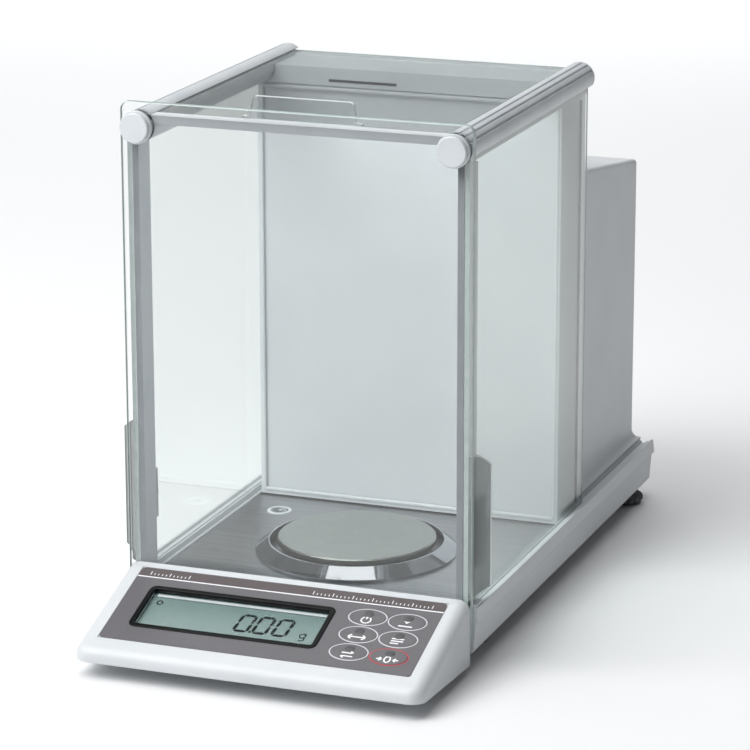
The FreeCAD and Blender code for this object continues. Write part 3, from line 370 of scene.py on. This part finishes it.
paint(["lower_case", "base_cover", "rear_cover", "console_housing", "console_bottom"], body)
# the cross bars get the brighter colour of painted reflection
paint(["front_top_bar", "rear_top_bar"], bars)
paint(["left_top_rail", "right_top_rail", "left_rail_cap", "right_rail_cap", "left_knob", "right_knob",
       "level_housing"], rails)
paint(["rear_wall"], wallPaint)
paint(["left_post", "right_post"], postPaint)
paint(["front_feet", "left_foot_pad", "right_foot_pad"], rubber)
paint(["left_foot_screw", "right_foot_screw"], nylon)
paint(["display_bezel"], acrylicFrame)
paint(["floor_plate"], floorPlate)
paint(["pan_support", "pan_arm", "floating_block", "cell_base", "upper_guide", "lower_guide", "transmission_lever"],
      aluminium)
paint(["weighing_pan"], panMetal)
paint(["breeze_ring"], chrome)
paint(["case_screws", "underhook_cover", "magnet_pot"], zinc)
paint(["left_door_handle", "right_door_handle"], grip)
paint(["top_door_handle"], tabAcrylic)
paint(["display_window"], pane)
paint(["keypad_overlay", "on_off_key", "calibrate_key", "range_key", "print_key", "mode_key", "rezero_key"], film)
paint(["lcd_panel"], lcd)
paint(["display_board", "main_board"], board)
paint(["key_switches", "power_jack", "serial_port"], socket)
paint(["force_coil"], winding)
paint(["level_vial"], pane)

# the sheets' narrow faces get the polished edge, by the way that each face points
for name, axis, sheet in (("front_glass", 1, coated), ("left_door", 0, greyer), ("right_door", 0, greyer),
                          ("top_door", 2, glass)):
    paint([name], sheet)
    mesh = nodes[name].data
    mesh.materials.append(edge)
    for face in mesh.polygons:
        face.material_index = 0 if abs(face.normal[axis]) > 0.9 else 1
# so do the rims of the tab and of the grips
for name in ("top_door_handle", "left_door_handle", "right_door_handle"):
    mesh = nodes[name].data
    mesh.materials.append(cutEdge)
    outer = max(abs(v.co.x) for v in mesh.vertices)
    for face in mesh.polygons:
        flat = abs(face.normal.y) > 0.9 if name == "top_door_handle" else abs(face.normal.z) < 0.3
        rim = name != "top_door_handle" and abs(face.center.x) > outer - 0.1 * mm
        face.material_index = 0 if flat and not rim else 1
# the inside of the shield ring is painted black as painted shade, so that the gap round the pan stays dark
low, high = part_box("breeze_ring")
mesh = nodes["breeze_ring"].data
mesh.materials.append(rubber)
for face in mesh.polygons:
    outward = face.center - (low + high) / 2
    face.material_index = 1 if face.normal.x * outward.x + face.normal.y * outward.y < -0.5 * outward.length else 0
print("frame painted")


# pieces that the moulding and printing add; the keys travel square to the slope, and the last joint is a key
slopeTurn = Matrix.Rotation(math.acos(-frame["joints"][-1]["axis"][2]), 4, "X")


def slopeTop(name):
    # the upper rear edge of a piece that lies along the slope, as a frame with X across, Y up the slope
    points = [slopeTurn.inverted() @ v.co for v in nodes[name].data.vertices]
    return slopeTurn @ Matrix.Translation(Vector((0, max(p.y for p in points), max(p.z for p in points))))


slopeFrame = slopeTop("keypad_overlay")
cellFrame = slopeTop("lcd_panel")
cellDepth = (slopeFrame.inverted() @ cellFrame.translation).z


def newPiece(name, rider, material, mesh, at=Matrix.Identity(4)):
    mesh.materials.append(material)
    mesh.transform(at)
    piece = bpy.data.objects.new(name, mesh)
    bpy.context.scene.collection.objects.link(piece)
    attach(piece, rider)
    return piece


def plates(name, outlines, low, high):
    # each outline is one loop, or a pair of loops of the same length with a hole between them
    made = bmesh.new()
    for outline in outlines:
        loops = outline if isinstance(outline[0][0], (tuple, list)) else [outline]
        layers = [[[made.verts.new((x, y, z)) for x, y in loop] for loop in loops] for z in (low, high)]
        count = len(loops[0])
        for i in range(count):
            j = (i + 1) % count
            for k in range(len(loops)):
                made.faces.new([layers[0][k][i], layers[0][k][j], layers[1][k][j], layers[1][k][i]])
            if len(loops) == 2:
                for z in (0, 1):
                    made.faces.new([layers[z][0][i], layers[z][0][j], layers[z][1][j], layers[z][1][i]])
        if len(loops) == 1:
            made.faces.new(layers[0][0])
            made.faces.new(layers[1][0])
    bmesh.ops.recalc_face_normals(made, faces=made.faces)
    mesh = bpy.data.meshes.new(name)
    made.to_mesh(mesh)
    made.free()
    return mesh


def oval(x, y, wide, tall, steps=64):
    turns = [2 * math.pi * i / steps for i in range(steps)]
    return [(x + wide / 2 * math.cos(t), y + tall / 2 * math.sin(t)) for t in turns]


def bar(x0, y0, x1, y1, wide):
    # a stroke from point to point with chamfered ends
    along = Vector((x1 - x0, y1 - y0)).normalized()
    side = Vector((-along.y, along.x)) * wide / 2
    a, b = Vector((x0, y0)), Vector((x1, y1))
    inset = along * wide / 2
    return [tuple(p) for p in (a, a + inset + side, b - inset + side, b, b - inset - side, a + inset - side)]


def rounded(x0, y0, x1, y1, r, steps):
    made = []
    for cx, cy, start in ((x1 - r, y1 - r, 0), (x0 + r, y1 - r, 90), (x0 + r, y0 + r, 180), (x1 - r, y0 + r, 270)):
        for i in range(steps + 1):
            t = math.radians(start + 90 * i / steps)
            made.append((cx + r * math.cos(t), cy + r * math.sin(t)))
    return made


def moulding(name, profile, x0, y0, x1, y1, corner, steps, smooth):
    # a closed profile of insets and heights, run round a rounded rectangle
    made = bmesh.new()
    loops = []
    for inset, high in profile:
        loop = rounded(x0 + inset, y0 + inset, x1 - inset, y1 - inset, max(corner - inset, 0.3), steps)
        loops.append([made.verts.new((x * mm, y * mm, high * mm)) for x, y in loop])
    loops.append(loops[0])
    for a, b in zip(loops, loops[1:]):
        for i in range(len(a)):
            j = (i + 1) % len(a)
            made.faces.new([a[i], a[j], b[j], b[i]])
    bmesh.ops.recalc_face_normals(made, faces=made.faces)
    mesh = bpy.data.meshes.new(name)
    made.to_mesh(mesh)
    made.free()
    for face in mesh.polygons:
        face.use_smooth = smooth
    return mesh


def box(x0, y0, x1, y1):
    return [(x0, y0), (x1, y0), (x1, y1), (x0, y1)]


def scaled(outlines):
    return [scaled(o) if isinstance(o[0], list) else [(x * mm, y * mm) for x, y in o] for o in outlines]


overlayPrint = {"half": 94.0, "inset": 0.5, "strip": (0.5, 8.0), "line": (8.0, 8.9), "inkLow": -0.01,
                "inkHigh": 0.03, "ring": (23.2, 15.2), "stroke": 0.9, "corner": 2.6}
stripTop, stripLow = overlayPrint["strip"]
stripEnd = overlayPrint["half"] - overlayPrint["inset"]
corner = overlayPrint["corner"]
arc = [(corner * (1 - math.cos(math.radians(a))), corner * (1 - math.sin(math.radians(a)))) for a in range(0, 91, 15)]
leftEnd = [(x - stripEnd, -stripTop - y) for x, y in arc]
rightEnd = [(-x, y) for x, y in reversed(leftEnd)]
strip = [(-stripEnd, -stripLow)] + leftEnd + rightEnd + [(stripEnd, -stripLow)]
ink = (overlayPrint["inkLow"] * mm, overlayPrint["inkHigh"] * mm)
newPiece("overlayStrip", "balance", stripPrint, plates("overlayStrip", scaled([strip]), *ink),
         slopeFrame)
lineRear, lineFront = overlayPrint["line"]
line = box(-overlayPrint["half"], -lineRear, overlayPrint["half"], -lineFront)
newPiece("overlayLine", "balance", whitePrint, plates("overlayLine", scaled([line]), *ink),
         slopeFrame)

# a fine scale printed at the strip's right, a short one at its left
scale = {"right": (14.0, 31), "left": (-87.0, 11), "step": 2.4, "stroke": 0.5, "short": 1.6, "long": 3.0, "every": 5,
         "base": 6.4}
ticks = []
for start, count in (scale["right"], scale["left"]):
    for i in range(count):
        x = start + i * scale["step"]
        high = scale["long"] if i % scale["every"] == 0 else scale["short"]
        ticks.append(box(x, -scale["base"], x + scale["stroke"], -scale["base"] + high))
above = slopeFrame @ Matrix.Translation(Vector((0, 0, overlayPrint["inkHigh"])) * mm)
newPiece("stripScale", "balance", whitePrint, plates("stripScale", scaled(ticks), *ink), above)

keys = {"columns": (52.8, 76.6), "rows": (20.8, 36.8, 52.8), "top": 0.4,
        "names": [["on_off_key", "calibrate_key"], ["range_key", "print_key"], ["mode_key", "rezero_key"]]}
rings = []
for row, down in enumerate(keys["rows"]):
    for column, across in enumerate(keys["columns"]):
        wide, tall = overlayPrint["ring"]
        both = 2 * overlayPrint["stroke"]
        rings.append([oval(across, -down, wide, tall), oval(across, -down, wide - both, tall - both)])
newPiece("keyRings", "balance", greyPrint, plates("keyRings", scaled(rings[:5]), *ink), slopeFrame)
newPiece("zeroRing", "balance", redPrint, plates("zeroRing", scaled(rings[5:]), *ink), slopeFrame)


def strokesRound(radius, middle, start, stop, step, reach, wide):
    # short strokes that follow a circle, by angle clockwise from its top
    def point(angle):
        t = math.radians(angle)
        return radius * math.sin(t), middle + radius * math.cos(t)
    return [bar(*point(a), *point(a + reach), wide) for a in range(start, stop, step)]


# plain symbols in place of words, drawn in millimetres about each key's middle
symbols = {
    "on_off_key": [bar(0, 0.4, 0, 3.4, 0.9)] + strokesRound(2.4, -0.2, 35, 320, 29, 34, 0.9),
    "calibrate_key": [[(-1.6, 2.6), (1.6, 2.6), (0, 0.5)], bar(-3.6, -1.4, 3.6, -1.4, 0.9)],
    "range_key": [bar(-4.2, 0, 4.2, 0, 0.8), bar(-4.4, 0, -2.6, 1.7, 0.8), bar(-4.4, 0, -2.6, -1.7, 0.8),
                  bar(4.4, 0, 2.6, 1.7, 0.8), bar(4.4, 0, 2.6, -1.7, 0.8)],
    "print_key": [bar(-3.2, 2.2, 3.2, 2.2, 0.8), bar(-3.2, 0.5, 3.2, 0.5, 0.8), bar(-3.2, -1.2, 1.4, -1.2, 0.8)],
    "mode_key": [bar(-3.2, 1.2, 2.6, 1.2, 0.8), bar(2.9, 1.2, 1.2, 2.6, 0.8), bar(3.2, -1.2, -2.6, -1.2, 0.8),
                 bar(-2.9, -1.2, -1.2, -2.6, 0.8)],
    "rezero_key": [[oval(0, 0, 3.6, 5.0, 32), oval(0, 0, 2.0, 3.4, 32)], bar(-5.6, 0, -2.8, 0, 0.8),
                   bar(-4.2, 1.3, -2.7, 0, 0.8), bar(-4.2, -1.3, -2.7, 0, 0.8), bar(5.6, 0, 2.8, 0, 0.8),
                   bar(4.2, 1.3, 2.7, 0, 0.8), bar(4.2, -1.3, 2.7, 0, 0.8)],
}
dome = {"up": 2.6, "radius": 2.9, "rise": 0.45, "sink": 0.05, "rings": 6, "steps": 32}
symbolLook = {"down": 2.7, "size": 1.2}


def cap(name, look):
    # a shallow dome, closed underneath
    made = bmesh.new()
    layers = []
    for i in range(look["rings"]):
        t = math.pi / 2 * i / look["rings"]
        r, z = look["radius"] * math.cos(t) * mm, look["rise"] * math.sin(t) * mm
        layers.append([made.verts.new((r * math.cos(2 * math.pi * k / look["steps"]),
                                       r * math.sin(2 * math.pi * k / look["steps"]), z))
                       for k in range(look["steps"])])
    for lower, upper in zip(layers, layers[1:]):
        for k in range(look["steps"]):
            j = (k + 1) % look["steps"]
            made.faces.new([lower[k], lower[j], upper[j], upper[k]])
    tip = made.verts.new((0, 0, look["rise"] * mm))
    for k in range(look["steps"]):
        made.faces.new([layers[-1][k], layers[-1][(k + 1) % look["steps"]], tip])
    made.faces.new(list(reversed(layers[0])))
    mesh = bpy.data.meshes.new(name)
    made.to_mesh(mesh)
    made.free()
    for face in mesh.polygons:
        face.use_smooth = len(face.vertices) < look["steps"]
    return mesh


for row, down in enumerate(keys["rows"]):
    for column, across in enumerate(keys["columns"]):
        key = keys["names"][row][column]
        at = slopeFrame @ Matrix.Translation(Vector((across, -down + dome["up"], keys["top"] - dome["sink"])) * mm)
        newPiece(key + ".dome", key, domeFilm, cap(key + ".dome", dome), at)
        at = (slopeFrame @ Matrix.Translation(Vector((across, -down - symbolLook["down"], keys["top"])) * mm)
              @ Matrix.Scale(symbolLook["size"], 4))
        newPiece(key + ".symbol", key, whitePrint, plates(key, scaled(symbols[key]), *ink), at)

# display frame with round corners, and the film that meets it
bezel = {"left": -81.8, "right": 33.0, "rear": 15.8, "front": 54.4, "border": 3.2, "corner": 4.6, "round": 0.45,
         "low": -4.0, "arc": 8, "under": 0.1, "filmThick": 0.5, "square": 0.05}
frameTop = (slopeFrame.inverted() @ slopeTop("display_bezel").translation).z / mm
sides = (bezel["left"], -bezel["front"], bezel["right"], -bezel["rear"])
soft, border = bezel["round"], bezel["border"]
profile = [(0, bezel["low"]), (0, frameTop - soft), (soft * 0.3, frameTop - soft * 0.3), (soft, frameTop),
           (border - soft, frameTop), (border - soft * 0.3, frameTop - soft * 0.3), (border, frameTop - soft),
           (border, bezel["low"])]
frameRing = newPiece("displayFrame", "balance", acrylicFrame,
                     moulding("displayFrame", profile, *sides, bezel["corner"], bezel["arc"], False),
                     slopeFrame)
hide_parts("display_bezel")
squareLoop = rounded(*sides, bezel["square"], bezel["arc"])
under = bezel["under"]
roundLoop = rounded(bezel["left"] + under, -bezel["front"] + under, bezel["right"] - under, -bezel["rear"] - under,
                    bezel["corner"] - under, bezel["arc"])
newPiece("frameSurround", "balance", film,
         plates("frameSurround", scaled([[squareLoop, roundLoop]]), -bezel["filmThick"] * mm, 0.0),
         slopeFrame)

# seven-segment figures lie on the cell, under the window
figures = {"left": (-21.0, -9.6, 2.2), "base": 43.4, "wide": 8.0, "tall": 14.4, "stroke": 2.0, "gap": 0.25,
           "lean": 0.1, "inkLow": 0.002, "inkHigh": 0.06, "point": (-10.9, 0.2, 1.7),
           "marker": (-72.6, -27.4, 4.2, 2.2), "unit": (20.4, -41.0), "unitOuter": (4.2, 4.6),
           "unitInner": (2.6, 3.0), "unitStem": (22.1, -38.6, 22.1, -45.0), "unitHook": (22.3, -45.0, 18.9, -45.6),
           "unitStroke": 0.85}


def sevenSegment(x, base, look, shown):
    wide, half, stroke, gap = look["wide"], look["tall"] / 2, look["stroke"], look["gap"]
    ends = {"a": (0, 2, 1, 2), "b": (1, 1, 1, 2), "c": (1, 0, 1, 1), "d": (0, 0, 1, 0), "e": (0, 0, 0, 1),
            "f": (0, 1, 0, 2), "g": (0, 1, 1, 1)}
    made = []
    for name in shown:
        i0, j0, i1, j1 = ends[name]
        flat = j0 == j1
        x0, y0 = i0 * wide + (gap if flat else 0), j0 * half + (0 if flat else gap)
        x1, y1 = i1 * wide - (gap if flat else 0), j1 * half - (0 if flat else gap)
        made.append([(x + px + look["lean"] * py, -base + py) for px, py in bar(x0, y0, x1, y1, stroke)])
    return made


drawn = []
for x in figures["left"]:
    drawn += sevenSegment(x, figures["base"], figures, "abcdef")
pointX, pointRise, pointWide = figures["point"]
drawn.append(oval(pointX, -figures["base"] + pointRise, pointWide, pointWide, 20))
markerX, markerY, markerOuter, markerInner = figures["marker"]
drawn.append([oval(markerX, markerY, wide, wide, 32) for wide in (markerOuter, markerInner)])
# a small g as the unit
drawn.append([oval(*figures["unit"], *size, 28) for size in (figures["unitOuter"], figures["unitInner"])])
drawn += [bar(*figures[part], figures["unitStroke"]) for part in ("unitStem", "unitHook")]
cellTop = slopeFrame @ Matrix.Translation(Vector((0, 0, cellDepth)))
newPiece("displayFigures", "balance", segment,
         plates("displayFigures", scaled(drawn), figures["inkLow"] * mm, figures["inkHigh"] * mm), cellTop)

# the cell's glass ledge shows as a pale band along its rear edge, with a dark line in front of it
ledge = {"left": -76.5, "right": 27.8, "band": (-22.0, -20.0), "line": (-22.6, -22.2), "inkHigh": 0.03}
for name, part, material in (("cellLedge", "band", greyPrint), ("cellLedgeLine", "line", segment)):
    near, far = ledge[part]
    outline = [box(ledge["left"], near, ledge["right"], far)]
    newPiece(name, "balance", material,
             plates(name, scaled(outline), figures["inkLow"] * mm, ledge["inkHigh"] * mm), cellTop)
print("prints and symbols made")

# knobs: a ratchet ring behind each cap
ratchet = {"inner": 8.3, "outer": 9.35, "valley": 8.9, "teeth": 40, "near": 0.15, "far": 1.2}
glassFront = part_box("front_glass")[0].y
for side in ("left", "right"):
    low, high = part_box(side + "_knob")
    middle = (low + high) / 2
    # four points to a tooth: two on its crest and two in the valley
    steps = ratchet["teeth"] * 4
    wave = [ratchet["outer"] if i % 4 < 2 else ratchet["valley"] for i in range(steps)]
    turns = [2 * math.pi * i / steps for i in range(steps)]
    outer = [(r * math.cos(t), r * math.sin(t)) for r, t in zip(wave, turns)]
    inner = [(ratchet["inner"] * math.cos(t), ratchet["inner"] * math.sin(t)) for t in turns]
    at = Matrix.Translation(Vector((middle.x, glassFront, middle.z))) @ Matrix.Rotation(math.pi / 2, 4, "X")
    newPiece(side + "KnobRatchet", side + "_knob", rails,
             plates("ratchet", scaled([[outer, inner]]), ratchet["near"] * mm, ratchet["far"] * mm), at)

# level: bubble and target ring in the vial
low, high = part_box("level_vial")
vialX, vialY = (low.x + high.x) / 2, (low.y + high.y) / 2
bubble = {"radius": 1.7, "rise": 0.7, "rings": 6, "steps": 32, "aside": 0.9, "lift": 0.01}
at = Matrix.Translation(Vector((vialX + bubble["aside"] * mm, vialY, high.z + bubble["lift"] * mm)))
newPiece("levelBubble", "balance", pane, cap("levelBubble", bubble), at)
target = {"outer": 5.4, "inner": 4.6, "low": -0.01, "high": 0.05, "steps": 40}
circles = [[oval(0, 0, target[part], target[part], target["steps"]) for part in ("outer", "inner")]]
at = Matrix.Translation(Vector((vialX, vialY, high.z)))
newPiece("levelTarget", "balance", segment,
         plates("levelTarget", scaled(circles), target["low"] * mm, target["high"] * mm), at)

# rear wall: a rolled border round its face, a black sheet of painted shade for the air slot near its top, and the seal
# along the floor
wallLow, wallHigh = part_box("rear_wall")
wallHalf = wallHigh.x / mm
wallFace = Matrix.Translation(Vector((0, wallLow.y, 0))) @ Matrix.Rotation(math.pi / 2, 4, "X")
roll = {"foot": 33.2, "top": 292.0, "inset": 1.4, "width": 2.6, "rise": 0.55, "corner": 3.0, "arc": 6, "steps": 6}
arch = [(roll["width"] / 2 * (1 - math.cos(math.pi * i / roll["steps"])),
         roll["rise"] * math.sin(math.pi * i / roll["steps"])) for i in range(roll["steps"] + 1)]
newPiece("wallBorder", "balance", wallPaint,
         moulding("wallBorder", arch, -wallHalf + roll["inset"], roll["foot"] + roll["inset"],
                  wallHalf - roll["inset"], roll["top"], roll["corner"], roll["arc"], True), wallFace)
# the slot is a flat black sheet on the wall's face: painted shade stands in for the hollow
slot = {"left": -50.0, "right": -6.0, "low": 295.4, "high": 297.0, "corner": 0.7, "arc": 4, "sink": 0.05, "rise": 0.12}
outline = [rounded(slot["left"], slot["low"], slot["right"], slot["high"], slot["corner"], slot["arc"])]
newPiece("wallSlotShade", "balance", socket,
         plates("wallSlotShade", scaled(outline), -slot["sink"] * mm, slot["rise"] * mm), wallFace)
seal = {"low": 32.05, "high": 32.9, "thick": 0.5}
outline = [box(-wallHalf, seal["low"], wallHalf, seal["high"])]
newPiece("wallSeal", "balance", rubber, plates("wallSeal", scaled(outline), 0.0, seal["thick"] * mm),
         wallFace)
# a black strip down each side edge of the wall
wallEdgeStrip = {"front": 77.0, "rear": 79.0, "thick": 0.9, "low": 37.0, "high": 290.0}
for side in (-1, 1):
    x = side * wallHalf
    outer = x + side * wallEdgeStrip["thick"]
    outline = [box(min(x, outer), wallEdgeStrip["front"], max(x, outer), wallEdgeStrip["rear"])]
    newPiece("wallEdgeStrip" + ("Left" if side < 0 else "Right"), "balance", rubber,
             plates("wallEdgeStrip", scaled(outline), wallEdgeStrip["low"] * mm, wallEdgeStrip["high"] * mm))

# small guides that keep the side doors' front corners on the shelf
guide = {"inner": 103.1, "outer": 106.6, "front": -133.5, "rear": -121.0, "low": 36.35, "high": 39.2, "notch": 1.3}
notchX, notch = guide["outer"] - guide["notch"], guide["notch"]
for side in (-1, 1):
    outline = [(side * guide["inner"], guide["front"]), (side * notchX, guide["front"]),
               (side * guide["outer"], guide["front"] + notch), (side * guide["outer"], guide["rear"] - notch * 2),
               (side * notchX, guide["rear"]), (side * guide["inner"], guide["rear"])]
    newPiece("doorGuide" + ("Left" if side < 0 else "Right"), "balance", rails,
             plates("doorGuide", scaled([outline]), guide["low"] * mm, guide["high"] * mm))
print("knob, level, wall and guide details made")

# studio: a matt floor, soft lamps and the camera
studio = {"floorHalf": 9.0, "floorLight": "#e9eaeb", "floorDark": "#e6e7e8", "speckle": 2.5, "floorRoughness": 0.9,
          "world": "#f2f4f6", "worldStrength": 0.13, "clearBounces": 16, "bounces": 20}
floorMaterial, tree, output = newMaterial("studio floor, matt paint")
place = addNode(tree, "TexCoord").outputs["Object"]
speckle = addNode(tree, "TexNoise", {"Vector": place, "Scale": 1 / (studio["speckle"] * mm), "Detail": 2.0})
shade = addNode(tree, "Mix", {0: speckle.outputs["Fac"], 6: colour(studio["floorDark"]),
                              7: colour(studio["floorLight"])}, data_type="RGBA")
shader = addNode(tree, "BsdfPrincipled", {"Base Color": shade.outputs[2], "Roughness": studio["floorRoughness"]})
finish(tree, output, shader.outputs[0])
half = studio["floorHalf"]
floorMesh = bpy.data.meshes.new("studioFloor")
floorMesh.from_pydata([(-half, -half, 0), (half, -half, 0), (half, half, 0), (-half, half, 0)], [], [(0, 1, 2, 3)])
floorMesh.materials.append(floorMaterial)
floor = bpy.data.objects.new("studioFloor", floorMesh)
bpy.context.scene.collection.objects.link(floor)

world = bpy.data.worlds.new("studio")
bpy.context.scene.world = world
world.use_nodes = True
sky = world.node_tree.nodes["Background"]
sky.inputs["Color"].default_value = colour(studio["world"])
sky.inputs["Strength"].default_value = studio["worldStrength"]

# mirrored: a glossy surface shows the lamp; through: the lamp shows in rays that the panes bend
softboxes = {
    "keyLeft": {"at": (-1.2, -1.3, 1.9), "to": (0, 0, 0.15), "size": (1.9, 1.9), "power": 52, "mirrored": True,
                "through": False},
    "keyCard": {"at": (-1.18, -1.28, 1.87), "to": (0, 0, 0.15), "size": (1.3, 1.3), "power": 7, "mirrored": True,
                "through": True},
    "overhead": {"at": (-0.2, 0.2, 2.4), "to": (0, 0, 0.15), "size": (2.0, 2.0), "power": 26, "mirrored": True,
                 "through": False},
    "overCard": {"at": (-0.1, -0.5, 2.35), "to": (0, 0, 0.15), "size": (1.3, 1.3), "power": 7, "mirrored": True,
                 "through": True},
    "lowFront": {"at": (-0.15, -0.92, 0.2), "to": (-0.15, -0.5, 0.9), "size": (0.7, 0.9), "power": 2.0,
                 "mirrored": False, "through": False},
    "backdrop": {"at": (-1.4, 4.0, 1.8), "to": (-1.4, 4.01, 0.0), "size": (3.2, 3.0), "power": 145,
                 "mirrored": False, "through": False},
}
for name, look in softboxes.items():
    lamp = bpy.data.lights.new(name, "AREA")
    lamp.shape = "RECTANGLE"
    lamp.size, lamp.size_y = look["size"]
    lamp.energy = look["power"]
    light = bpy.data.objects.new(name, lamp)
    light.location = look["at"]
    light.rotation_euler = (Vector(look["to"]) - Vector(look["at"])).to_track_quat("-Z", "Y").to_euler()
    light.visible_camera = False
    light.visible_glossy = look["mirrored"]
    # lamp light goes straight through the panes already, so refracted rays leave the strong lamps out
    light.visible_transmission = look["through"]
    bpy.context.scene.collection.objects.link(light)

view = {"lens": 168.87, "at": (0.71482, -1.91270, 0.69957), "turn": 20.608, "down": 15.602, "roll": 0.117,
        "sensor": 36, "near": 0.05}
lens = bpy.data.cameras.new("camera")
lens.lens = view["lens"]
lens.sensor_width = view["sensor"]
lens.clip_start = view["near"]
camera = bpy.data.objects.new("camera", lens)
camera.matrix_world = (Matrix.Translation(Vector(view["at"])) @ Matrix.Rotation(math.radians(view["turn"]), 4, "Z")
                       @ Matrix.Rotation(math.radians(90 - view["down"]), 4, "X")
                       @ Matrix.Rotation(math.radians(-view["roll"]), 4, "Z"))
bpy.context.scene.collection.objects.link(camera)
bpy.context.scene.camera = camera
bpy.context.scene.view_settings.view_transform = "Standard"
bpy.context.scene.cycles.transparent_max_bounces = studio["clearBounces"]
bpy.context.scene.cycles.transmission_bounces = studio["bounces"]
bpy.context.scene.cycles.max_bounces = studio["bounces"]
print("studio and camera set")
